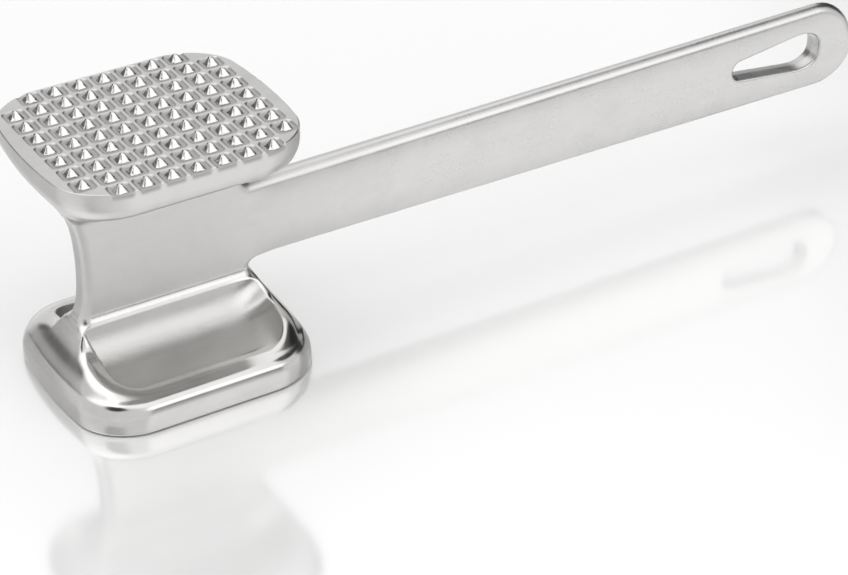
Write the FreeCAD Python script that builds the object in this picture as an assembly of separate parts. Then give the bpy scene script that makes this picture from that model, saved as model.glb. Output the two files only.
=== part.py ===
"""Cast aluminium meat mallet: a two-faced head on a flat handle, made in one pour.

The casting is divided into its regions, which meet face to face: a smooth striking
plate, a lower pan, a web, an upper pan, a toothed plate with its teeth, a handle blade
and a hanging eye.

Frame, in millimetres: the origin is the centre of the smooth striking face, which is the
plane Z = 0. X runs along the handle towards the hanging hole, Z up to the toothed face.
"""
import FreeCAD, Part
import math
import os

# --- the grid of teeth -----------------------------------------------------------------
PITCH = 6.5                # centre to centre, and the measure that the head follows
GRID_COUNT = 9             # rows and columns, with the four corner teeth left out
GRID_SHIFT_X = 0.3         # the grid sits a little off the centre of its face
GRID_SHIFT_Y = -0.6
TOOTH_BASE = 3.4           # square foot of a tooth
TOOTH_TIP = 0.6            # square flat on its tip
TOOTH_HEIGHT = 2.0         # above the bottom of its pocket
POCKET_X = 5.3             # each tooth stands in a shallow square pocket
POCKET_Y = 5.5
POCKET_DEPTH = 0.4
POCKET_CORNER = 1.1

# --- the head --------------------------------------------------------------------------
HEAD_HEIGHT = 67.0         # from the smooth face to the land between the teeth
FACE_LENGTH = 65.0         # along X, over the bowed ends
FACE_WIDTH = 57.8          # along Y, over the straight sides
END_BOW = 130.0            # radius of the bowed ends of a face
PLATE = 3.0                # thickness of each plate that carries a striking face
PLATE_EDGE = 0.8           # rounding round the foot of the smooth face
PAN_TOP = 20.8             # height of a pan above its striking face

# Horizontal outlines of a pan: height above the face, half length, half width, corner.
PAN_OUTLINES = (
    (0.0, 32.5, 28.9, 12.5),
    (4.5, 32.3, 28.8, 12.5),
    (6.5, 31.6, 28.3, 12.4),
    (8.4, 30.5, 26.3, 12.1),
    (10.6, 29.0, 24.2, 11.4),
    (13.2, 27.0, 19.0, 9.5),
    (16.2, 25.2, 11.5, 6.5),
    (17.6, 24.5, 8.0, 4.6),
    (18.7, 23.9, 5.1, 3.2),
    (19.8, 23.3, 4.1, 2.7),
    (20.8, 22.8, 3.7, 2.4),
)
PAN_STEEP = 2              # the outlines up to this one are joined by straight walls
PAN_CREASE = 9             # and from this one up they form the foot of the web

# --- the recess on each side of the web: a pocket inside a shallow dish ----------------
CREASE_Y = 5.1             # the recess starts here, under the foot of the web
CREASE_Z = 18.7
STEEP_Z = 16.3             # its inner wall is upright down to here, then rounds out
STEEP_Y = 5.3
FLOOR_FAR = (9.5, 10.3)    # half width and height where the flat floor begins
FLOOR_NEAR = (21.7, 6.6)   # and where it ends, at the outer lip
LIP_Z = 8.3                # height of the lip
LIP_STEP = 1.6             # the dish stands this far above the pocket's floor
POCKET_LEFT = 21.6         # half length of the pocket at the end away from the handle
POCKET_CORNER_R = 6.0
CREST_X = 25.5             # the rim's crest at the ends of the dish
CREST_Z = 13.2             # its height where the half width is CREST_Y
CREST_Y = 10.1
CREST_FALL = 0.22          # how fast it falls outwards
DISH_SLOPE = 0.36          # of the dish away from the handle
HANDLE_SIDE_SLOPE = 0.6    # of the dish and the pocket on the side of the handle
CUT_LOW = 3.0              # the cuts of the recess reach from this height
CUT_HIGH = 44.0            # to this one

# --- the web ---------------------------------------------------------------------------
WEB_THICKNESS = 7.4
WEB_CORNER = 2.4
WEB_HALF_LENGTH = 22.3     # towards the handle
WEB_WAIST = ((24.0, 21.9), (28.0, 21.4), (33.5, 21.2))   # the other way, by height

# --- the handle ------------------------------------------------------------------------
HANDLE_Z = 33.0            # height of its centre line
HANDLE_ROOT_X = 22.3       # where it leaves the web
HANDLE_TIP_X = 211.3
ROOT_DEPTH = 20.7          # along Z, at the head
TIP_DEPTH = 24.1           # along Z, where the rounded end begins
ROOT_EDGE = 7.2            # thickness along Y of the narrow edges at the head
SHOULDER_EDGE = 5.0        # a little way along
TIP_EDGE = 4.0
SHOULDER_X = 32.0
ROOT_BULGE = 7.4           # thickness along Y at mid depth at the head
TIP_BULGE = 6.0
EYE_START_X = 165.0        # the blade ends here and the hanging eye begins

# --- the hanging hole ------------------------------------------------------------------
HOLE_Z = 33.0              # height of its centre line
HOLE_NARROW_X = 173.4      # centre of its small end
HOLE_NARROW_R = 2.6
HOLE_WIDE_X = 195.4        # centres of the two corners of its wide end
HOLE_WIDE_Z = 1.37
HOLE_CORNER_R = 4.0
HOLE_END_X = 199.6         # the crown of its wide end
HOLE_END_CENTRE = 190.9    # the centre of the bow there

UP = FreeCAD.Vector(0, 0, 1)


def vec(x, y, z):
    return FreeCAD.Vector(x, y, z)


def loft(wires, ruled=False):
    """A closed solid through a list of wires."""
    return Part.makeLoft(wires, True, ruled)


def bowed_outline(half_x, half_y, corner, z):
    """A rounded rectangle with straight sides along X and bowed ends, at height z."""
    bow_centre = half_x - END_BOW
    inner = END_BOW - corner
    corner_y = half_y - corner
    corner_x = bow_centre + math.sqrt(inner ** 2 - corner_y ** 2)
    lean = math.atan2(corner_y, corner_x - bow_centre)
    touch = vec(corner_x + corner * math.cos(lean), corner_y + corner * math.sin(lean), z)
    middle = (lean + math.pi / 2) / 2
    crown = vec(corner_x + corner * math.cos(middle), corner_y + corner * math.sin(middle), z)
    side = vec(corner_x, half_y, z)

    def at(point, sign_x, sign_y):
        return vec(sign_x * point.x, sign_y * point.y, z)

    edges = []
    for sign_x, sign_y in ((1, 1), (-1, -1)):
        end = vec(sign_x * half_x, 0, z)
        edges += [
            Part.Arc(at(touch, sign_x, -sign_y), end, at(touch, sign_x, sign_y)).toShape(),
            Part.Arc(at(touch, sign_x, sign_y), at(crown, sign_x, sign_y),
                     at(side, sign_x, sign_y)).toShape(),
            Part.LineSegment(at(side, sign_x, sign_y), at(side, -sign_x, sign_y)).toShape(),
            Part.Arc(at(side, -sign_x, sign_y), at(crown, -sign_x, sign_y),
                     at(touch, -sign_x, sign_y)).toShape(),
        ]
    return Part.Wire(edges)


def pan_body():
    """The solid form of a pan with its striking plate, before the recesses."""
    wires = [bowed_outline(x, y, corner, z) for z, x, y, corner in PAN_OUTLINES]
    wall = loft(wires[:PAN_STEEP + 1], True)
    back = loft(wires[PAN_STEEP:PAN_CREASE])
    foot = loft(wires[PAN_CREASE - 1:], True)
    return wall.fuse(back).fuse(foot).removeSplitter()


def across(points):
    """A prism along X over (half width, height) points that lead down to the floor.

    The first points run down the recess's inner wall, which rounds out into the floor.
    """
    run = FLOOR_FAR[0] - STEEP_Y
    drop = STEEP_Z - FLOOR_FAR[1]
    radius = (run ** 2 + drop ** 2) / (2 * run)
    turn = math.asin(drop / radius) / 2

    def at(y, z):
        return vec(-FACE_LENGTH, -y, z)

    start = at(STEEP_Y, STEEP_Z)
    middle = at(STEEP_Y + radius * (1 - math.cos(turn)), STEEP_Z - radius * math.sin(turn))
    floor = at(*FLOOR_FAR)
    corners = [at(*point) for point in points]
    corners += [at(FACE_WIDTH, CUT_HIGH), at(CREASE_Y, CUT_HIGH), at(CREASE_Y, CREASE_Z), start]
    edges = [Part.Arc(start, middle, floor).toShape()]
    for first, second in zip([floor] + corners[:-1], corners):
        edges.append(Part.LineSegment(first, second).toShape())
    return Part.Face(Part.Wire(edges)).extrude(vec(2 * FACE_LENGTH, 0, 0))


def inside_crest(side, slope):
    """Everything inwards of a plane that falls from the rim's crest at one end."""
    wires = []
    for half_width in (CREASE_Y - 1, FACE_WIDTH):
        crest = CREST_Z - CREST_FALL * (half_width - CREST_Y)
        low_x = CREST_X + (CUT_LOW - crest) / slope
        high_x = CREST_X + (CUT_HIGH - crest) / slope
        points = [(-FACE_LENGTH, CUT_LOW), (low_x, CUT_LOW), (high_x, CUT_HIGH),
                  (-FACE_LENGTH, CUT_HIGH), (-FACE_LENGTH, CUT_LOW)]
        wires.append(Part.makePolygon([vec(side * x, -half_width, z) for x, z in points]))
    return loft(wires, True)


def pocket_plan():
    """The pocket's outline in plan, open towards the handle, as a tall block."""
    r = POCKET_CORNER_R
    left = -POCKET_LEFT
    near = -FLOOR_NEAR[0]
    z = CUT_LOW
    bend = r * (1 - math.cos(math.pi / 4))
    wire = Part.Wire([
        Part.LineSegment(vec(left, 0, z), vec(left, near + r, z)).toShape(),
        Part.Arc(vec(left, near + r, z), vec(left + bend, near + bend, z),
                 vec(left + r, near, z)).toShape(),
        Part.LineSegment(vec(left + r, near, z), vec(FACE_LENGTH, near, z)).toShape(),
        Part.LineSegment(vec(FACE_LENGTH, near, z), vec(FACE_LENGTH, 0, z)).toShape(),
        Part.LineSegment(vec(FACE_LENGTH, 0, z), vec(left, 0, z)).toShape(),
    ])
    return Part.Face(wire).extrude(vec(0, 0, CUT_HIGH))


def recess_tools():
    """What is cut away beside the web where Y is negative: the pocket and the dish."""
    fall = (FLOOR_FAR[1] - FLOOR_NEAR[1]) / (FLOOR_NEAR[0] - FLOOR_FAR[0])
    floor_end = FLOOR_NEAR[1] - fall * (FACE_WIDTH / 2 - FLOOR_NEAR[0])
    handle_side = inside_crest(1, HANDLE_SIDE_SLOPE)
    pocket = across([(FACE_WIDTH / 2, floor_end), (FACE_WIDTH, floor_end)])
    pocket = pocket.common(pocket_plan()).common(handle_side)
    dish = across([(FLOOR_FAR[0], FLOOR_FAR[1] + LIP_STEP), (FLOOR_NEAR[0], LIP_Z),
                   (FACE_WIDTH, LIP_Z)])
    dish = dish.common(handle_side).common(inside_crest(-1, DISH_SLOPE))
    return pocket, dish


def slab(low, high):
    """A block wider than the head, from one height to another."""
    return Part.makeBox(2 * FACE_LENGTH, 2 * FACE_WIDTH, high - low,
                        vec(-FACE_LENGTH, -FACE_WIDTH, low))


def flipped(shape):
    """The same shape turned over about the mid height of the head."""
    return shape.mirror(vec(0, 0, HEAD_HEIGHT / 2), UP)


def smooth_plate():
    """The smooth striking plate, its foot rounded."""
    plate = pan_body().common(slab(0, PLATE))
    foot = [edge for edge in plate.Edges if edge.BoundBox.ZMax < 0.01]
    return plate.makeFillet(PLATE_EDGE, foot)


def pan():
    """A pan above its plate: a rim round a recess on each side of the web."""
    body = pan_body().common(slab(PLATE, PAN_TOP))
    for tool in recess_tools():
        body = body.cut(tool).cut(tool.mirror(vec(0, 0, 0), vec(0, 1, 0)))
    return body


def tooth_places():
    """The centres of the teeth: a square grid without its four corners."""
    last = GRID_COUNT - 1
    places = []
    for row in range(GRID_COUNT):
        for column in range(GRID_COUNT):
            if row in (0, last) and column in (0, last):
                continue
            places.append((GRID_SHIFT_X + (column - last / 2) * PITCH,
                           GRID_SHIFT_Y + (row - last / 2) * PITCH))
    return places


def square(size_x, size_y, z):
    """A square wire about the Z axis at height z."""
    x = size_x / 2
    y = size_y / 2
    return Part.makePolygon([vec(-x, -y, z), vec(x, -y, z), vec(x, y, z), vec(-x, y, z),
                             vec(-x, -y, z)])


def pocket_tool():
    """The shallow pocket round one tooth, as a cutting block about the Z axis."""
    block = Part.makeBox(POCKET_X, POCKET_Y, 2 * POCKET_DEPTH,
                         vec(-POCKET_X / 2, -POCKET_Y / 2, HEAD_HEIGHT - POCKET_DEPTH))
    upright = [edge for edge in block.Edges if edge.BoundBox.ZLength > POCKET_DEPTH]
    return block.makeFillet(POCKET_CORNER, upright)


def tooth():
    """One pyramid with a blunt tip, standing on the floor of its pocket."""
    foot = HEAD_HEIGHT - POCKET_DEPTH
    return loft([square(TOOTH_BASE, TOOTH_BASE, foot),
                 square(TOOTH_TIP, TOOTH_TIP, foot + TOOTH_HEIGHT)], True)


def at_places(shape):
    """A copy of a shape at every tooth's place."""
    return [shape.translated(vec(x, y, 0)) for x, y in tooth_places()]


def toothed_plate():
    """The toothed plate's land and pockets."""
    plate = flipped(pan_body().common(slab(0, PLATE)))
    return plate.cut(Part.makeCompound(at_places(pocket_tool())))


def teeth():
    """All the teeth, each a separate solid trimmed to the outline of the face."""
    outline = Part.Face(bowed_outline(FACE_LENGTH / 2, FACE_WIDTH / 2, PAN_OUTLINES[0][3], 0))
    column = outline.extrude(vec(0, 0, 2 * HEAD_HEIGHT))
    return Part.makeCompound([one.common(column).Solids[0] for one in at_places(tooth())])


def web():
    """The upright plate between the two pans, waisted at the end away from the handle."""
    y = WEB_THICKNESS / 2
    depth = HEAD_HEIGHT - 2 * PAN_TOP
    foot_x = PAN_OUTLINES[-1][1]
    lower = [(PAN_TOP, foot_x)] + list(WEB_WAIST)
    upper = [(HEAD_HEIGHT - z, x) for z, x in reversed(lower[:-1])]
    waist = loft([bowed_outline(x, y, WEB_CORNER, z) for z, x in lower + upper])
    left = waist.common(Part.makeBox(foot_x + 1, 2 * y, depth, vec(-foot_x - 1, -y, PAN_TOP)))
    right = Part.makeBox(WEB_HALF_LENGTH, 2 * y, depth, vec(0, -y, PAN_TOP))
    return left.fuse(right).removeSplitter()


def handle_section(x, depth, edge, bulge):
    """The handle's section at x: flat narrow edges and bowed broad sides."""
    top = HANDLE_Z + depth / 2
    foot = HANDLE_Z - depth / 2
    e = edge / 2
    b = bulge / 2
    return Part.Wire([
        Part.LineSegment(vec(x, e, top), vec(x, -e, top)).toShape(),
        Part.Arc(vec(x, -e, top), vec(x, -b, HANDLE_Z), vec(x, -e, foot)).toShape(),
        Part.LineSegment(vec(x, -e, foot), vec(x, e, foot)).toShape(),
        Part.Arc(vec(x, e, foot), vec(x, b, HANDLE_Z), vec(x, e, top)).toShape(),
    ])


def handle_profile():
    """The side view of the handle, with its round end, as a thick plate."""
    radius = TIP_DEPTH / 2
    round_x = HANDLE_TIP_X - radius
    root = ROOT_DEPTH / 2
    tip_top = vec(round_x, 0, HANDLE_Z + radius)
    tip_foot = vec(round_x, 0, HANDLE_Z - radius)
    root_foot = vec(HANDLE_ROOT_X, 0, HANDLE_Z - root)
    root_top = vec(HANDLE_ROOT_X, 0, HANDLE_Z + root)
    wire = Part.Wire([
        Part.LineSegment(root_top, tip_top).toShape(),
        Part.Arc(tip_top, vec(HANDLE_TIP_X, 0, HANDLE_Z), tip_foot).toShape(),
        Part.LineSegment(tip_foot, root_foot).toShape(),
        Part.LineSegment(root_foot, root_top).toShape(),
    ])
    plate = Part.Face(wire).extrude(vec(0, 2 * ROOT_BULGE, 0))
    return plate.translated(vec(0, -ROOT_BULGE, 0))


def handle_body():
    """The whole handle, before the hole."""
    share = (SHOULDER_X - HANDLE_ROOT_X) / (HANDLE_TIP_X - HANDLE_ROOT_X)
    depth = ROOT_DEPTH + share * (TIP_DEPTH - ROOT_DEPTH)
    bulge = ROOT_BULGE + share * (TIP_BULGE - ROOT_BULGE)
    bar = loft([handle_section(HANDLE_ROOT_X, ROOT_DEPTH, ROOT_EDGE, ROOT_BULGE),
                handle_section(SHOULDER_X, depth, SHOULDER_EDGE, bulge),
                handle_section(HANDLE_TIP_X, TIP_DEPTH, TIP_EDGE, TIP_BULGE)], True)
    return bar.common(handle_profile())


def tangent_touch(x_a, z_a, r_a, x_b, z_b, r_b):
    """Where a straight line above two circles touches them."""
    gap = math.hypot(x_b - x_a, z_b - z_a)
    heading = math.atan2(z_b - z_a, x_b - x_a)
    normal = heading + math.acos((r_a - r_b) / gap)
    c = math.cos(normal)
    s = math.sin(normal)
    return (x_a + r_a * c, z_a + r_a * s), (x_b + r_b * c, z_b + r_b * s)


def hole_tool():
    """The teardrop hanging hole: small round end, straight sides, wide bowed end."""
    upper = tangent_touch(HOLE_NARROW_X, 0, HOLE_NARROW_R,
                          HOLE_WIDE_X, HOLE_WIDE_Z, HOLE_CORNER_R)
    y = -2 * ROOT_BULGE

    def at(x, z):
        return vec(x, y, HOLE_Z + z)

    (near_x, near_z), (far_x, far_z) = upper
    corner = math.atan2(HOLE_WIDE_Z, HOLE_WIDE_X - HOLE_END_CENTRE)
    turn_x = HOLE_WIDE_X + HOLE_CORNER_R * math.cos(corner)
    turn_z = HOLE_WIDE_Z + HOLE_CORNER_R * math.sin(corner)
    half = (math.atan2(far_z - HOLE_WIDE_Z, far_x - HOLE_WIDE_X) + corner) / 2
    mid_x = HOLE_WIDE_X + HOLE_CORNER_R * math.cos(half)
    mid_z = HOLE_WIDE_Z + HOLE_CORNER_R * math.sin(half)
    wire = Part.Wire([
        Part.LineSegment(at(near_x, near_z), at(far_x, far_z)).toShape(),
        Part.Arc(at(far_x, far_z), at(mid_x, mid_z), at(turn_x, turn_z)).toShape(),
        Part.Arc(at(turn_x, turn_z), at(HOLE_END_X, 0), at(turn_x, -turn_z)).toShape(),
        Part.Arc(at(turn_x, -turn_z), at(mid_x, -mid_z), at(far_x, -far_z)).toShape(),
        Part.LineSegment(at(far_x, -far_z), at(near_x, -near_z)).toShape(),
        Part.Arc(at(near_x, -near_z), at(HOLE_NARROW_X - HOLE_NARROW_R, 0),
                 at(near_x, near_z)).toShape(),
    ])
    return Part.Face(wire).extrude(vec(0, 4 * ROOT_BULGE, 0))


def beyond(x):
    """A block that holds everything further along the handle than x."""
    return Part.makeBox(HANDLE_TIP_X, 4 * ROOT_BULGE, HEAD_HEIGHT, vec(x, -2 * ROOT_BULGE, 0))


def handle_blade():
    """The handle from the web to the hanging eye."""
    return handle_body().cut(beyond(EYE_START_X))


def hanging_eye():
    """The round end of the handle, with the hole through it."""
    return handle_body().common(beyond(EYE_START_X)).cut(hole_tool())


PARTS = {
    "smooth_striking_plate": smooth_plate,
    "lower_pan": pan,
    "web": web,
    "upper_pan": lambda: flipped(pan()),
    "toothed_plate": toothed_plate,
    "teeth": teeth,
    "handle_blade": handle_blade,
    "hanging_eye": hanging_eye,
}

os.makedirs("parts", exist_ok=True)
for name, make in PARTS.items():
    make().exportStep("parts/" + name + ".step")
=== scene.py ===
"""The looks of a cast aluminium meat mallet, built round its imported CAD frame.

The casting is one continuous surface, so it is described once, as a function that is
negative inside the metal. A mesh is drawn on its zero surface and then cut into pieces
where the CAD nodes meet. Shapes are in millimetres, as in the CAD source.
"""
import bmesh
import bpy
import math
import numpy as np
from mathutils import Matrix, Vector


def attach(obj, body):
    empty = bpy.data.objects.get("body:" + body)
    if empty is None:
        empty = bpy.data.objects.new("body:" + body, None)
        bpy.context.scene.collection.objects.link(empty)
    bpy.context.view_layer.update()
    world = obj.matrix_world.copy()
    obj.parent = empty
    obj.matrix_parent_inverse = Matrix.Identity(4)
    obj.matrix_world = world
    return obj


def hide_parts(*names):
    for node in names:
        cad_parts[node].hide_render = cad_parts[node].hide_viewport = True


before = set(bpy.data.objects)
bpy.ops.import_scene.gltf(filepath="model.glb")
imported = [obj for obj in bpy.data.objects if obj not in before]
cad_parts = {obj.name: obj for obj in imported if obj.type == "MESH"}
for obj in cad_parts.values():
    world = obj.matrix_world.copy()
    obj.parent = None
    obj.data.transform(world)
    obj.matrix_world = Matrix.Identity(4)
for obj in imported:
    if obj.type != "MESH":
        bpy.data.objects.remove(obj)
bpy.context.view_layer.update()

MM = 0.001

# --- the head --------------------------------------------------------------------------
HEAD_HEIGHT = 67.0             # from the smooth face to the land between the teeth
MIDDLE = HEAD_HEIGHT / 2
END_BOW = 130.0                # radius of the bowed ends of a face
FOOT_EDGE = 0.8                # rounding round the smooth face
FACE_EDGE = 0.35               # and round the toothed face
OUTLINES = np.array((
    # height above the nearer face, half length, half width, corner
    (0.0, 32.5, 28.9, 12.5),
    (2.5, 32.5, 28.9, 12.5),
    (4.5, 32.3, 28.8, 12.5),
    (6.5, 31.6, 28.3, 12.4),
    (7.7, 31.0, 27.5, 12.3),
    (8.4, 30.5, 26.3, 12.1),
    (10.6, 29.0, 24.2, 11.4),
    (13.2, 27.0, 19.0, 9.5),
    (16.2, 25.2, 11.5, 6.5),
    (17.6, 24.5, 8.0, 4.6),
    (18.3, 24.1, 6.0, 3.6),
    (18.7, 23.9, 5.1, 3.2),
    (19.2, 23.6, 4.5, 2.9),
    (19.8, 23.3, 4.08, 2.7),
    (20.5, 22.9, 3.8, 2.5),
    (21.3, 22.6, 3.7, 2.4),
    (24.0, 21.9, 3.7, 2.4),
    (28.0, 21.4, 3.7, 2.4),
    (MIDDLE, 21.2, 3.7, 2.4),
))

# --- the recess on each side of the web: a polished dish round an as-cast pocket -------
# Heights are above the nearer face, each lean, slope, fall and rise is a ratio, and the
# handle is on the right.
FAR_Y = 5.1                    # the recess starts here, under the foot of the web
FAR_Z = 18.7
FAR_LEAN = 0.08                # of its inner wall
FAR_FILLET = 6.2               # between the inner wall and the floor
CREST_X = 25.5                 # the rim's crest at both ends of the dish
CREST_Y = 10.1                 # the half width where it is CREST_Z high
CREST_Z = 13.2
CREST_FALL = 0.22
LEFT_LEAN = 0.36               # of the dish's two ends
RIGHT_LEAN = 0.6
RIM_Z = 8.3                    # height of the lip at the near edge of the pocket
RIM_SLOPE = 0.03
RIM_CORNER = 3.0               # reach of the blends between the planes of the dish
FLOOR_Y = 9.5                  # the flat floor begins here
FLOOR_Z = 10.27
FLOOR_SLOPE = 0.3
FLOOR_STEP = 1.6               # the dish stands this far above the pocket's floor
POCKET_LEFT = 21.6             # the pocket's walls
POCKET_NEAR = 21.7
POCKET_SIDE_LEAN = 0.25
POCKET_PLAN = 6.0              # its corner in plan
POCKET_FOOT = 4.0              # reach of the blends along its floor
POCKET_CRISP = 0.5             # the edge between its walls and its floor
BROW_X = 13.0                  # here the plane that ends the pocket's floor meets the lip
BROW_RISE = (0.12, 0.10)       # of that plane, along X and away from the web
LIP_EDGE = 0.4                 # rounding of the edge between pocket and dish
RIDGE_NEAR = 2.4               # rounding of the rim, and of the crease under the web
RIDGE_CREASE = 0.45
RIDGE_FADE = (5.0, 9.0)        # half widths between which one turns into the other

# --- the handle ------------------------------------------------------------------------
ROOT_X = 22.3
TIP_X = 211.3
HANDLE_Z = 33.0                # height of its centre line
ROOT_DEPTH = 20.7              # along Z
TIP_DEPTH = 24.1
ROOT_EDGE = 5.0                # thickness along Y of the narrow edges
TIP_EDGE = 4.0
ROOT_BULGE = 7.4               # thickness along Y at mid depth
TIP_BULGE = 6.0
BOW_POWER = 2.4                # the broad sides are flatter in the middle than an arc
BOW_LIMIT = 1.1                # how far past the half depth the bow is followed
UPPER_ROUNDING = 2.3
LOWER_ROUNDING = 0.5
ROUNDING_BLEND = 4.0           # one turns into the other this close to the centre line
ROOT_FADE = (19.0, 32.0)       # the edges narrow from the web's thickness between these
ROOT_OVERLAP = 6.0             # the bar runs on into the web this far
ROOT_BLEND = 3.2               # fillet between the handle and the pans
ROOT_EDGE_ROUNDING = 0.6

# --- the hanging hole ------------------------------------------------------------------
HOLE_Z = HANDLE_Z
HOLE_NARROW_X = 173.4          # centre of its small end
HOLE_NARROW_R = 2.6
HOLE_SPREAD = math.radians(7.2)    # of each side from the centre line
HOLE_END_X = 190.9             # centre of the bow at its wide end
HOLE_END_R = 8.7
HOLE_CORNER = 4.0
HOLE_DRAFT = 0.08              # it widens towards both faces
HOLE_ROUNDING = 0.7

# --- the teeth -------------------------------------------------------------------------
PITCH = 6.5
GRID_COUNT = 9                 # rows and columns, with the four corner teeth left out
GRID_SHIFT = (0.3, -0.6)       # the grid sits a little off the centre of its face
TOOTH_BASE = 3.4
TOOTH_TIP = 0.9
TOOTH_HEIGHT = 2.0             # above the bottom of its pocket
TOOTH_LEVELS = (0.06, 0.2, 0.4, 0.6, 0.78, 0.9)
TOOTH_PINCH = 0.10             # its sides are this hollow half way up
TOOTH_CORNER = 0.14            # the share of its outline that is round at the foot
TOOTH_TRIM = 0.02              # it ends this far inside the edge of the face
TOOTH_LEAN = 0.05              # how unevenly the teeth are cast: their tips wander,
TOOTH_WEAR = 0.3               # they are worn down by up to this much,
TOOTH_UNEVEN = (0.02, 0.03)    # and their outlines and corners vary by these shares
POCKET = (5.3, 5.5)
POCKET_DEPTH = 0.4
POCKET_CORNER = 1.1
POCKET_SOFT = 0.35             # half the width of the slope round a pocket

# --- the surface left by the mould -----------------------------------------------------
RAW_END = (14.0, 22.0)         # the pocket's floor turns polished between these, along X
RAW_SKIN = (0.15, 0.5)         # and with distance from the floor
WEB_FOOT_RAW = 0.35            # how raw the web is, above its foot
WEB_FOOT_BAND = (FAR_Z - 0.3, FAR_Z + 0.4)

# --- the planes between the CAD nodes --------------------------------------------------
PLATE_CUT = 3.0                # above the nearer face
PAN_CUT = 20.8
EYE_CUT = 165.0                # along X


def rounded(a, b, radius):
    """The overlap of two fields, its edge rounded to a radius."""
    deep = np.minimum(np.maximum(a + radius, b + radius), 0)
    return deep + np.hypot(np.maximum(a + radius, 0), np.maximum(b + radius, 0)) - radius


def softer(a, b, reach):
    """The overlap of two fields that meet at a shallow angle, blended over a reach."""
    overlap = np.maximum(reach - np.abs(a - b), 0) / reach
    return np.maximum(a, b) + overlap * overlap * reach / 4


def joined(a, b, radius):
    """The union of two fields, with a fillet between them."""
    return -rounded(-a, -b, radius)


def ramp(value, low, high):
    """Smoothly from 0 below low to 1 above high."""
    t = np.clip((value - low) / (high - low), 0, 1)
    return t * t * (3 - 2 * t)


def curve(column):
    """A smooth curve through one column of the outlines, that never overshoots."""
    z = OUTLINES[:, 0]
    v = OUTLINES[:, column]
    step = np.diff(z)
    rise = np.diff(v) / step
    slope = np.concatenate((rise[:1], np.zeros(len(rise) - 1), [0]))
    product = rise[:-1] * rise[1:]
    total = rise[:-1] + rise[1:]
    slope[1:-1] = np.where(product > 0, 2 * product / np.where(total == 0, 1, total), 0)
    fine = np.linspace(z[0], z[-1], 2401)
    k = np.clip(np.searchsorted(z, fine, side="right") - 1, 0, len(rise) - 1)
    t = (fine - z[k]) / step[k]
    value = ((1 + 2 * t) * (1 - t) ** 2 * v[k] + t * (1 - t) ** 2 * step[k] * slope[k]
             + t * t * (3 - 2 * t) * v[k + 1] + t * t * (t - 1) * step[k] * slope[k + 1])
    return fine, value


HALF_LENGTH, HALF_WIDTH, CORNER = (curve(column) for column in (1, 2, 3))


def outline(x, y, height):
    """The head's bowed rounded rectangle at a height above the nearer face."""
    half_x, half_y, corner = (np.interp(height, *c) for c in (HALF_LENGTH, HALF_WIDTH, CORNER))
    end = np.hypot(np.abs(x) + END_BOW - half_x, y) - END_BOW
    return rounded(end, np.abs(y) - half_y, corner)


def hollow(x, y, z):
    """The as-cast pocket and the polished dish round it, on each side of the web."""
    side = np.abs(y)
    far = FAR_Y + FAR_LEAN * np.maximum(FAR_Z - z, 0) - side
    floor = (FLOOR_Z - FLOOR_SLOPE * (side - FLOOR_Y) - z) / math.hypot(1, FLOOR_SLOPE)
    crest = CREST_Z - CREST_FALL * (side - CREST_Y)
    left = (crest - LEFT_LEAN * (CREST_X + x) - z) / math.hypot(1, LEFT_LEAN)
    right = (crest - RIGHT_LEAN * (CREST_X - x) - z) / math.hypot(1, RIGHT_LEAN)
    near = RIM_Z + RIM_SLOPE * (side - POCKET_NEAR) - z
    ends = softer(left, right, RIM_CORNER)
    bottom = softer(near, floor + FLOOR_STEP, RIM_CORNER)
    dish = rounded(softer(ends, bottom, RIM_CORNER), far, FAR_FILLET)
    brow = RIM_Z + BROW_RISE[0] * (x - BROW_X) + BROW_RISE[1] * (side - POCKET_NEAR) - z
    foot = softer(softer(floor, right, POCKET_FOOT), brow, POCKET_FOOT)
    end = -x - POCKET_LEFT - POCKET_SIDE_LEAN * (z - FLOOR_Z)
    front = side - POCKET_NEAR - POCKET_SIDE_LEAN * (z - RIM_Z)
    pocket = rounded(rounded(end, front, POCKET_PLAN), rounded(foot, far, FAR_FILLET), POCKET_CRISP)
    return pocket, dish


def recess(x, y, z):
    """The whole hollow on each side of the web: negative in the air above its floor."""
    pocket, dish = hollow(x, y, z)
    return joined(dish, pocket, LIP_EDGE)


def head(x, y, z):
    """Both pans, the web between them and the two faces."""
    height = np.minimum(z, HEAD_HEIGHT - z)
    body = outline(x, y, np.clip(height, 0, MIDDLE))
    ridge = RIDGE_CREASE + (RIDGE_NEAR - RIDGE_CREASE) * ramp(np.abs(y), *RIDGE_FADE)
    body = rounded(body, -recess(x, y, height), ridge)
    body = rounded(body, -z, FOOT_EDGE)
    return rounded(body, z - HEAD_HEIGHT, FACE_EDGE)


def handle(x, y, z):
    """The flat handle with bowed sides and a round end."""
    up = z - HANDLE_Z
    along = np.clip((x - ROOT_X) / (TIP_X - ROOT_X), 0, 1)
    half_depth = (ROOT_DEPTH + (TIP_DEPTH - ROOT_DEPTH) * along) / 2
    bulge = (ROOT_BULGE + (TIP_BULGE - ROOT_BULGE) * along) / 2
    edge = (ROOT_EDGE + (TIP_EDGE - ROOT_EDGE) * along) / 2
    edge = bulge + (edge - bulge) * ramp(x, *ROOT_FADE)
    round_x = TIP_X - TIP_DEPTH / 2
    beyond = np.hypot(np.maximum(x - round_x, 0), up) - half_depth
    profile = np.where(x > round_x, beyond, np.abs(up) - half_depth)
    bow = np.minimum(np.abs(up / half_depth), BOW_LIMIT) ** BOW_POWER
    face = np.abs(y) - edge - (bulge - edge) * (1 - bow)
    upper = ramp(up, -ROUNDING_BLEND, ROUNDING_BLEND)
    bar = rounded(profile, face, LOWER_ROUNDING + (UPPER_ROUNDING - LOWER_ROUNDING) * upper)
    return np.maximum(bar, ROOT_X - ROOT_OVERLAP - x)


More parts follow.
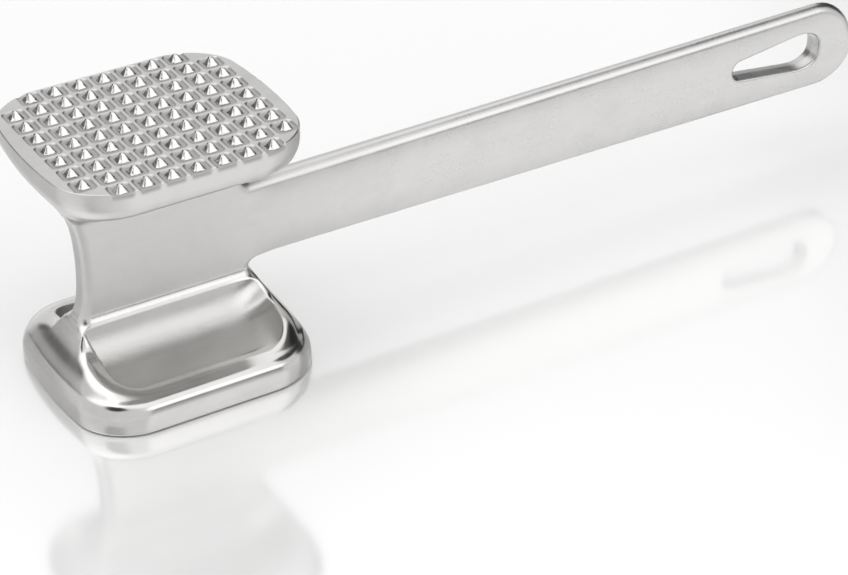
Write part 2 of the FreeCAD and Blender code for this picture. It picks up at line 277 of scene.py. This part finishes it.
def hole(x, y, z):
    """The teardrop hanging hole, a little wider at both faces than half way through."""
    up = np.abs(z - HOLE_Z)
    side = up * math.cos(HOLE_SPREAD) - (x - HOLE_NARROW_X) * math.sin(HOLE_SPREAD)
    end = np.hypot(np.maximum(x - HOLE_END_X, 0), up) - HOLE_END_R
    wide = rounded(side - HOLE_NARROW_R, end, HOLE_CORNER)
    narrow = np.hypot(x - HOLE_NARROW_X, up) - HOLE_NARROW_R
    behind = x < HOLE_NARROW_X - up * math.tan(HOLE_SPREAD)
    return np.where(behind, narrow, wide) - HOLE_DRAFT * np.abs(y)


def casting(x, y, z):
    """The whole casting apart from the relief on its toothed face."""
    block = head(x, y, z)
    bar = handle(x, y, z)
    filled = rounded(joined(block, bar, ROOT_BLEND), np.abs(y) - ROOT_BULGE / 2, ROOT_EDGE_ROUNDING)
    body = np.minimum(np.minimum(block, bar), filled)
    return rounded(body, -hole(x, y, z), HOLE_ROUNDING)


def pockets(x, y):
    """How deep the land of the toothed face is let in round each tooth."""
    last = (GRID_COUNT - 1) / 2
    column = np.clip(np.round((x - GRID_SHIFT[0]) / PITCH), -last, last)
    row = np.clip(np.round((y - GRID_SHIFT[1]) / PITCH), -last, last)
    u = np.abs(x - GRID_SHIFT[0] - column * PITCH)
    v = np.abs(y - GRID_SHIFT[1] - row * PITCH)
    inside = rounded(u - POCKET[0] / 2, v - POCKET[1] / 2, POCKET_CORNER)
    corner = (np.abs(column) == last) & (np.abs(row) == last)
    return np.where(corner, 0, POCKET_DEPTH * (1 - ramp(inside, -POCKET_SOFT, POCKET_SOFT)))


def toothed_land(x, y, z):
    """The top of the head with the pockets let into it."""
    body = outline(x, y, np.clip(HEAD_HEIGHT - z, 0, MIDDLE))
    return rounded(body, z - HEAD_HEIGHT + pockets(x, y), FACE_EDGE)


def slope(shape, points):
    """The gradient of a shape's function at points."""
    reach = 0.02
    gradient = np.empty_like(points)
    for axis in range(3):
        ahead = points.copy()
        behind = points.copy()
        ahead[:, axis] += reach
        behind[:, axis] -= reach
        gradient[:, axis] = (shape(*ahead.T) - shape(*behind.T)) / (2 * reach)
    return gradient


def settle(shape, points, rounds=4):
    """Moves points onto a shape's zero surface."""
    for _ in range(rounds):
        gradient = slope(shape, points)
        size = np.maximum((gradient ** 2).sum(1), 1e-6)
        move = (shape(*points.T) / size)[:, None] * gradient
        points = points - np.clip(move, -0.3, 0.3)
    return points


def surface(shape, blocks, step):
    """The zero surface of a shape over blocks of one grid, as points and quads."""
    low = np.min([b[0] for b in blocks], 0)
    high = np.max([b[1] for b in blocks], 0)
    count = np.ceil((high - low) / step).astype(int) + 1
    field = np.ones(count, np.float32)
    for start, end in blocks:
        first = np.floor((np.array(start) - low) / step).astype(int)
        last = np.minimum(np.ceil((np.array(end) - low) / step).astype(int) + 1, count)
        axes = [low[a] + step * np.arange(first[a], last[a]) for a in range(3)]
        x, y, z = np.meshgrid(*axes, indexing="ij", sparse=True)
        field[first[0]:last[0], first[1]:last[1], first[2]:last[2]] = shape(x, y, z)
    inside = field < 0
    cells = tuple(n - 1 for n in count)
    total = np.zeros(cells + (3,), np.float32)
    hits = np.zeros(cells, np.float32)
    quads = []
    number = np.arange(np.prod(cells)).reshape(cells)
    for axis in range(3):
        here = tuple(slice(0, -1) if a == axis else slice(None) for a in range(3))
        next_ = tuple(slice(1, None) if a == axis else slice(None) for a in range(3))
        i, j, k = np.nonzero(inside[here] != inside[next_])
        start = np.stack((i, j, k), 1)
        a = field[i, j, k]
        stop = start.copy()
        stop[:, axis] += 1
        b = field[tuple(stop.T)]
        crossing = start.astype(np.float32)
        crossing[:, axis] += a / (a - b)
        one, two = [n for n in range(3) if n != axis]
        ring = []
        for back_one, back_two in ((0, 0), (1, 0), (1, 1), (0, 1)):
            cell = start.copy()
            cell[:, one] -= back_one
            cell[:, two] -= back_two
            cell = tuple(np.clip(cell, 0, np.array(cells) - 1).T)
            np.add.at(total, cell, crossing)
            np.add.at(hits, cell, 1)
            ring.append(number[cell])
        ring = np.stack(ring, 1)
        outward = (a > 0) ^ (axis == 1)
        quads.append(np.where(outward[:, None], ring[:, ::-1], ring))
    used = np.nonzero(hits.ravel())[0]
    index = np.full(hits.size, -1)
    index[used] = np.arange(len(used))
    points = total.reshape(-1, 3)[used] / hits.ravel()[used][:, None]
    points = settle(shape, low + step * points.astype(float))
    return points, index[np.concatenate(quads)]


def mesh_from(points, faces):
    """A bmesh of points in millimetres."""
    mesh = bpy.data.meshes.new("shape")
    mesh.from_pydata((points * MM).tolist(), [], faces.tolist())
    mesh.validate()
    shape = bmesh.new()
    shape.from_mesh(mesh)
    bpy.data.meshes.remove(mesh)
    return shape


def sliced(shape, axis, low, high):
    """A copy of a bmesh between two planes across an axis, closed where it is cut."""
    part = shape.copy()
    for place, side in ((low, -1), (high, 1)):
        if place is None:
            continue
        point = Vector((0, 0, 0))
        point[axis] = place * MM
        normal = Vector((0, 0, 0))
        normal[axis] = side
        everything = part.verts[:] + part.edges[:] + part.faces[:]
        cut = bmesh.ops.bisect_plane(part, geom=everything, plane_co=point, plane_no=normal,
                                     clear_outer=True, dist=1e-7)
        rim = [e for e in cut["geom_cut"] if isinstance(e, bmesh.types.BMEdge)]
        bmesh.ops.holes_fill(part, edges=rim, sides=0)
    return part


def finish_piece(name, part, shape, cut_planes=()):
    """Turns a bmesh into an object shaded by the true surface, flat where it was cut."""
    bmesh.ops.triangulate(part, faces=[f for f in part.faces if len(f.verts) > 4])
    mesh = bpy.data.meshes.new(name)
    part.to_mesh(mesh)
    part.free()
    mesh.polygons.foreach_set("use_smooth", np.ones(len(mesh.polygons), bool))
    places = np.empty(len(mesh.vertices) * 3)
    mesh.vertices.foreach_get("co", places)
    places = places.reshape(-1, 3) / MM
    normals = slope(shape, places)
    normals /= np.maximum(np.linalg.norm(normals, axis=1), 1e-9)[:, None]
    corners = np.empty(len(mesh.loops), int)
    mesh.loops.foreach_get("vertex_index", corners)
    split = normals[corners]
    for polygon in mesh.polygons:
        spots = places[list(polygon.vertices)]
        for axis, place in cut_planes:
            if np.abs(spots[:, axis] - place).max() < 1e-3:
                split[list(polygon.loop_indices)] = polygon.normal
    mesh.normals_split_custom_set(split.tolist())
    piece = bpy.data.objects.new(name, mesh)
    bpy.context.scene.collection.objects.link(piece)
    return piece


def unpolished(x, y, z):
    """1 on the pocket floors, which are left as cast, less on the web and 0 elsewhere."""
    height = np.minimum(z, HEAD_HEIGHT - z)
    pocket, _ = hollow(x, y, height)
    floor = (1 - ramp(np.abs(pocket), *RAW_SKIN)) * (1 - ramp(x, *RAW_END))
    return np.maximum(floor, WEB_FOOT_RAW * ramp(height, *WEB_FOOT_BAND))


def sunk(x, y, z):
    """1 in the pockets between the teeth and 0 on the land."""
    return np.clip(pockets(x, y) / POCKET_DEPTH, 0, 1) * ramp(z, HEAD_HEIGHT - 2, HEAD_HEIGHT - 1)


def mark(piece, name, amount):
    """Stores an amount at each point of a piece, for its material to read."""
    places = np.empty(len(piece.data.vertices) * 3)
    piece.data.vertices.foreach_get("co", places)
    layer = piece.data.attributes.new(name, "FLOAT", "POINT")
    layer.data.foreach_set("value", amount(*(places.reshape(-1, 3) / MM).T))


def tooth_places():
    """The centres of the teeth."""
    last = (GRID_COUNT - 1) / 2
    spots = np.arange(GRID_COUNT) - last
    return [(GRID_SHIFT[0] + c * PITCH, GRID_SHIFT[1] + r * PITCH)
            for c in spots for r in spots if not (abs(c) == last and abs(r) == last)]


def tooth_rings():
    """Half size, rounding share and height of a tooth's level outlines."""
    foot = HEAD_HEIGHT - POCKET_DEPTH
    base = TOOTH_BASE / 2
    tip = TOOTH_TIP / 2
    rings = [(base, TOOTH_CORNER, foot)]
    for t in TOOTH_LEVELS:
        half = base + (tip - base) * t - TOOTH_PINCH * math.sin(math.pi * t)
        rings.append((half, TOOTH_CORNER + 0.1 * t, foot + TOOTH_HEIGHT * t))
    rings.append((tip * 0.85, 0.4, foot + TOOTH_HEIGHT * 0.97))
    rings.append((tip * 0.45, 0.6, foot + TOOTH_HEIGHT))
    return rings


def square_ring(half, share, count=24):
    """Points round a square with rounded corners."""
    turn = 2 * math.pi * (np.arange(count) + 0.5) / count
    power = 2 / (1 - 0.85 * (1 - share))
    reach = (np.abs(np.cos(turn)) ** power + np.abs(np.sin(turn)) ** power) ** (-1 / power)
    return half * reach[:, None] * np.stack((np.cos(turn), np.sin(turn)), 1)


def one_tooth(rng, centre, rings):
    """The points of one slightly uneven tooth: its outlines, then its tip and its foot."""
    lean = rng.normal(0, TOOTH_LEAN, 2)
    worn = rng.uniform(0, TOOTH_WEAR)
    stack = []
    for half, share, z in rings:
        t = (z - rings[0][2]) / TOOTH_HEIGHT
        flat = square_ring(half * (1 + rng.normal(0, TOOTH_UNEVEN[0])), share)
        flat = flat * (1 + rng.normal(0, TOOTH_UNEVEN[1], (len(flat), 1)))
        flat = flat + np.array(centre) + lean * t
        level = np.full(len(flat), z - worn * t * t)
        stack.append(np.column_stack((flat, level)))
    tip = np.array([[centre[0] + lean[0], centre[1] + lean[1], rings[-1][2] - worn]])
    foot = np.array([[centre[0], centre[1], rings[0][2]]])
    return np.concatenate(stack + [tip, foot])


def trimmed(block):
    """The points of a tooth, with those past the edge of the face moved back to it."""
    over = outline(block[:, 0], block[:, 1], np.zeros(len(block))) + TOOTH_TRIM
    outside = over > 0
    if outside.any():
        spots = block[outside]
        away = slope(lambda x, y, z: outline(x, y, np.zeros_like(x)), spots)
        block[outside] = spots - over[outside][:, None] * away
    return block


def tooth_faces(start, levels, count):
    """The faces of a tooth, its points numbered on from a start: sides, tip and foot."""
    faces = []
    top = start + (levels - 1) * count
    tip = start + levels * count
    for n in range(count):
        m = (n + 1) % count
        for a in range(start, top, count):
            faces.append((a + n, a + m, a + count + m, a + count + n))
        faces.append((top + n, top + m, tip))
        faces.append((start + m, start + n, tip + 1))
    return faces


def teeth_mesh():
    """Every tooth as a closed pyramid with a worn tip, trimmed to the edge of the face."""
    rng = np.random.default_rng(7)
    rings = tooth_rings()
    points = []
    faces = []
    for centre in tooth_places():
        start = sum(len(p) for p in points)
        block = trimmed(one_tooth(rng, centre, rings))
        points.append(block)
        faces += tooth_faces(start, len(rings), (len(block) - 2) // len(rings))
    mesh = bpy.data.meshes.new("teeth")
    mesh.from_pydata((np.concatenate(points) * MM).tolist(), [], faces)
    mesh.validate()
    mesh.polygons.foreach_set("use_smooth", np.ones(len(mesh.polygons), bool))
    piece = bpy.data.objects.new("teeth_detail", mesh)
    bpy.context.scene.collection.objects.link(piece)
    return piece


# --- materials -------------------------------------------------------------------------
def new_material(name):
    """An empty node material with its shader and output joined."""
    material = bpy.data.materials.new(name)
    material.use_nodes = True
    nodes = material.node_tree.nodes
    nodes.clear()
    shader = nodes.new("ShaderNodeBsdfPrincipled")
    output = nodes.new("ShaderNodeOutputMaterial")
    material.node_tree.links.new(shader.outputs["BSDF"], output.inputs["Surface"])
    return material, nodes, material.node_tree.links, shader


def noise(nodes, links, place, scale, detail, stretch=(1, 1, 1), roughness=0.5):
    """Noise in the object's own space, stretched along its axes."""
    mapping = nodes.new("ShaderNodeMapping")
    mapping.inputs["Scale"].default_value = stretch
    links.new(place.outputs["Object"], mapping.inputs["Vector"])
    texture = nodes.new("ShaderNodeTexNoise")
    texture.inputs["Scale"].default_value = scale
    texture.inputs["Detail"].default_value = detail
    texture.inputs["Roughness"].default_value = roughness
    links.new(mapping.outputs["Vector"], texture.inputs["Vector"])
    return texture.outputs["Fac"]


def stored(nodes, name):
    """An amount stored at each point of the mesh."""
    node = nodes.new("ShaderNodeAttribute")
    node.attribute_name = name
    return node.outputs["Fac"]


def spread(nodes, links, value, low, high, out_low, out_high):
    """Maps a range of values onto another, clamped."""
    node = nodes.new("ShaderNodeMapRange")
    node.inputs["From Min"].default_value = low
    node.inputs["From Max"].default_value = high
    node.inputs["To Min"].default_value = out_low
    node.inputs["To Max"].default_value = out_high
    links.new(value, node.inputs["Value"])
    return node.outputs["Result"]


def combine(nodes, links, operation, a, b):
    """A maths node between two values, either of which may be a number."""
    node = nodes.new("ShaderNodeMath")
    node.operation = operation
    for socket, value in zip(node.inputs, (a, b)):
        if isinstance(value, (int, float)):
            socket.default_value = value
        else:
            links.new(value, socket)
    return node.outputs["Value"]


def bump(nodes, links, height, distance, strength, under=None):
    """A bump of a height field, over another bump."""
    node = nodes.new("ShaderNodeBump")
    node.inputs["Distance"].default_value = distance
    node.inputs["Strength"].default_value = strength
    links.new(height, node.inputs["Height"])
    if under is not None:
        links.new(under, node.inputs["Normal"])
    return node.outputs["Normal"]


RAW_ROUGH = 0.26               # added to the roughness where the metal is as cast
RAW_GRAIN = 0.5                # strength of the mould's grain there
PAINTED_SHADE = 0.22                   # the share of the colour taken off as painted shade in the pockets between the teeth
SHINE_ALONG = (0.012, 0.075)   # the grip grows smoother between these, in metres along X


def aluminium(name, smooth, rough, tone_low, tone_high, grain, wave, grip_shine):
    """Cast aluminium: satin or polished, with clouded roughness, grain and soft waves.

    Along the handle it grows smoother by the grip's shine.
    """
    material, nodes, links, shader = new_material(name)
    shader.inputs["Metallic"].default_value = 1.0
    place = nodes.new("ShaderNodeTexCoord")
    cloud = noise(nodes, links, place, 120, 4)
    fine = noise(nodes, links, place, 1800, 3)
    strokes = noise(nodes, links, place, 260, 5, (0.06, 1, 1), 0.6)
    swell = noise(nodes, links, place, 70, 2, (0.2, 1, 1))
    mixed = combine(nodes, links, "ADD", combine(nodes, links, "MULTIPLY", cloud, 0.6),
                    combine(nodes, links, "MULTIPLY", strokes, 0.4))

    split = nodes.new("ShaderNodeSeparateXYZ")
    links.new(place.outputs["Object"], split.inputs["Vector"])
    shine = spread(nodes, links, split.outputs["X"], *SHINE_ALONG, 0.0, grip_shine)
    raw = stored(nodes, "as_cast")
    raw_part = combine(nodes, links, "MULTIPLY", raw, RAW_ROUGH)
    roughness = spread(nodes, links, mixed, 0.35, 0.65, smooth, rough)
    roughness = combine(nodes, links, "ADD", roughness, raw_part)
    roughness = combine(nodes, links, "SUBTRACT", roughness, shine)
    links.new(roughness, shader.inputs["Roughness"])

    tone = nodes.new("ShaderNodeValToRGB")
    tone.color_ramp.elements[0].position = 0.35
    tone.color_ramp.elements[0].color = (*tone_low, 1)
    tone.color_ramp.elements[1].position = 0.65
    tone.color_ramp.elements[1].color = (*tone_high, 1)
    links.new(mixed, tone.inputs["Fac"])
    # Painted shade: the colour is darkened by this share where the stored mask is set, in the
    # pockets between the teeth.
    painted_shade_loss = combine(nodes, links, "MULTIPLY", stored(nodes, "pocket_shade"), PAINTED_SHADE)
    shade = nodes.new("ShaderNodeVectorMath")
    shade.operation = "SCALE"
    links.new(tone.outputs["Color"], shade.inputs[0])
    links.new(combine(nodes, links, "SUBTRACT", 1.0, painted_shade_loss), shade.inputs["Scale"])
    links.new(shade.outputs["Vector"], shader.inputs["Base Color"])

    waves = bump(nodes, links, swell, 0.0004, wave)
    stroked = bump(nodes, links, strokes, 0.00004, grain, waves)
    grained = bump(nodes, links, fine, 0.000012, grain, stroked)
    skin = combine(nodes, links, "MULTIPLY", noise(nodes, links, place, 900, 4), raw)
    cast = bump(nodes, links, skin, 0.00012, RAW_GRAIN, grained)
    links.new(cast, shader.inputs["Normal"])
    return material


POLISHED = aluminium("polished_aluminium", 0.12, 0.20,
                     (0.57, 0.562, 0.552), (0.64, 0.632, 0.62), 0.2, 0.05, 0.0)
SATIN = aluminium("satin_aluminium", 0.28, 0.38,
                  (0.555, 0.55, 0.542), (0.625, 0.62, 0.61), 0.1, 0.04, 0.14)


# --- the pieces ------------------------------------------------------------------------
X = 0                          # the axes that the planes between the pieces lie across
Z = 2
TOP_PAN_CUT = HEAD_HEIGHT - PAN_CUT
TOP_PLATE_CUT = HEAD_HEIGHT - PLATE_CUT

# The corners of the blocks that hold the metal. Their odd values keep the grid's planes
# away from the casting's flat faces.
BODY_BLOCKS = (
    ((-33.31, -29.83, -0.63), (42.3, 29.7, 67.8)),
    ((42.0, -4.8, 20.0), (212.4, 4.8, 46.2)),
)
LAND_BLOCKS = (((-33.31, -29.83, 60.07), (33.3, 29.7, 67.8)),)
BODY_STEP = 0.5                # spacing of the grid
LAND_STEP = 0.3
body = mesh_from(*surface(casting, BODY_BLOCKS, BODY_STEP))
land = mesh_from(*surface(toothed_land, LAND_BLOCKS, LAND_STEP))
core = sliced(body, X, None, ROOT_X)
grip = sliced(sliced(body, X, ROOT_X, None), Z, PAN_CUT, TOP_PAN_CUT)


def keep(name, part, shape, node, material, planes, raw=unpolished, painted_shade_mask=None):
    """One finished piece that stands for a CAD node."""
    piece = finish_piece(name, part, shape, planes)
    mark(piece, "as_cast", raw)
    # The stored mask says where the colour is darkened as painted shade.
    if painted_shade_mask:
        mark(piece, "pocket_shade", painted_shade_mask)
    piece.data.materials.append(material)
    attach(piece, "root")
    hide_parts(node)


keep("smooth_plate_detail", sliced(body, Z, None, PLATE_CUT), casting, "smooth_striking_plate",
     POLISHED, ((Z, PLATE_CUT),))
keep("lower_pan_detail", sliced(body, Z, PLATE_CUT, PAN_CUT), casting, "lower_pan",
     POLISHED, ((Z, PLATE_CUT), (Z, PAN_CUT)))
keep("web_detail", sliced(core, Z, PAN_CUT, TOP_PAN_CUT), casting, "web",
     SATIN, ((Z, PAN_CUT), (Z, TOP_PAN_CUT), (X, ROOT_X)))
keep("upper_pan_detail", sliced(body, Z, TOP_PAN_CUT, TOP_PLATE_CUT), casting, "upper_pan",
     SATIN, ((Z, TOP_PAN_CUT), (Z, TOP_PLATE_CUT)))
# The pockets between the teeth are rougher as cast, and their colour is darkened as painted shade.
keep("toothed_plate_detail", sliced(land, Z, TOP_PLATE_CUT, None), toothed_land, "toothed_plate",
     SATIN, ((Z, TOP_PLATE_CUT),), sunk, sunk)
keep("handle_blade_detail", sliced(grip, X, None, EYE_CUT), casting, "handle_blade",
     SATIN, ((X, ROOT_X), (X, EYE_CUT), (Z, PAN_CUT), (Z, TOP_PAN_CUT)))
keep("hanging_eye_detail", sliced(grip, X, EYE_CUT, None), casting, "hanging_eye",
     SATIN, ((X, EYE_CUT),))
teeth = teeth_mesh()
teeth.data.materials.append(POLISHED)
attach(teeth, "root")
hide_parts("teeth")

# --- floor, light and camera -----------------------------------------------------------
scene = bpy.context.scene
scene.view_settings.view_transform = "Standard"

FLOOR_REACH = 6.0              # metres
FLOOR_GAP = 0.0002             # keeps the floor clear of the smooth face
corners = [(-FLOOR_REACH, -FLOOR_REACH, 0), (FLOOR_REACH, -FLOOR_REACH, 0),
           (FLOOR_REACH, FLOOR_REACH, 0), (-FLOOR_REACH, FLOOR_REACH, 0)]
floor_mesh = bpy.data.meshes.new("floor")
floor_mesh.from_pydata(corners, [], [(0, 1, 2, 3)])
floor = bpy.data.objects.new("floor", floor_mesh)
scene.collection.objects.link(floor)
floor.location.z = -FLOOR_GAP
floor_material, _, _, floor_shader = new_material("studio_floor")
floor_shader.inputs["Base Color"].default_value = (0.87, 0.87, 0.87, 1)
floor_shader.inputs["Roughness"].default_value = 0.10
floor_shader.inputs["IOR"].default_value = 3.6
floor_mesh.materials.append(floor_material)

world = bpy.data.worlds.new("studio")
scene.world = world
world.use_nodes = True
nodes = world.node_tree.nodes
links = world.node_tree.links
sky = nodes["Background"]


def toward(direction, near, full):
    """1 within an angle of a direction, falling to 0 at another, in degrees."""
    place = nodes.new("ShaderNodeTexCoord")
    dot = nodes.new("ShaderNodeVectorMath")
    dot.operation = "DOT_PRODUCT"
    dot.inputs[1].default_value = Vector(direction).normalized()
    links.new(place.outputs["Generated"], dot.inputs[0])
    node = nodes.new("ShaderNodeMapRange")
    node.interpolation_type = "SMOOTHSTEP"
    node.inputs["From Min"].default_value = math.cos(math.radians(near))
    node.inputs["From Max"].default_value = math.cos(math.radians(full))
    links.new(dot.outputs["Value"], node.inputs["Value"])
    return node.outputs["Result"]


ROOM = 0.9                     # the brightness of the plain room
DARKEST = 0.03
ZONES = (
    # direction, angles where it ends and where it is full, change of brightness
    ((0.92, 0.30, 0.25), 36, 26, -0.85),     # dark, beyond the handle's end
    ((-0.42, 0.82, 0.36), 28, 12, -0.75),    # dark, behind on the left
    ((0.40, -0.91, 0.02), 19, 10, -0.55),    # dark, low in front
    ((0.66, 0.00, 0.75), 19, 13, -1.3),      # dark, above the handle
    ((-0.57, -0.41, 0.63), 19, 10, -1.1),    # dark, above the camera's left
    ((0.37, -0.76, 0.50), 26, 15, 0.85),     # soft box in front
    ((0.10, 0.10, 0.95), 50, 30, 0.5),       # soft box overhead
    ((-0.50, 0.10, 0.84), 32, 10, 0.7),      # soft box on the left
)
level = ROOM
for direction, near, full, gain in ZONES:
    zone = combine(nodes, links, "MULTIPLY", toward(direction, near, full), gain)
    level = combine(nodes, links, "ADD", zone, level)
level = combine(nodes, links, "MAXIMUM", level, DARKEST)
links.new(level, sky.inputs["Strength"])
sky.inputs["Color"].default_value = (1, 1, 1, 1)

fill = bpy.data.lights.new("fill", "AREA")
fill.shape = "DISK"
fill.size = 1.6
fill.energy = 3.2
lamp = bpy.data.objects.new("fill", fill)
scene.collection.objects.link(lamp)
lamp.location = (0.05, 0, 1.4)
lamp.visible_glossy = False

CAMERA_PLACE = Vector((-0.21739, -0.51335, 0.36554))
CAMERA_AIM = Vector((0.04478, -0.052324, 0.033))     # beside the web, at half its height
CAMERA_ROLL = math.radians(-1.3982)
camera_data = bpy.data.cameras.new("camera")
camera_data.lens = 112.24
camera_data.sensor_width = 36
camera = bpy.data.objects.new("camera", camera_data)
scene.collection.objects.link(camera)
level_turn = (CAMERA_AIM - CAMERA_PLACE).to_track_quat("-Z", "Y").to_matrix()
turn = level_turn @ Matrix.Rotation(CAMERA_ROLL, 3, "Z")
camera.matrix_world = Matrix.Translation(CAMERA_PLACE) @ turn.to_4x4()
scene.camera = camera
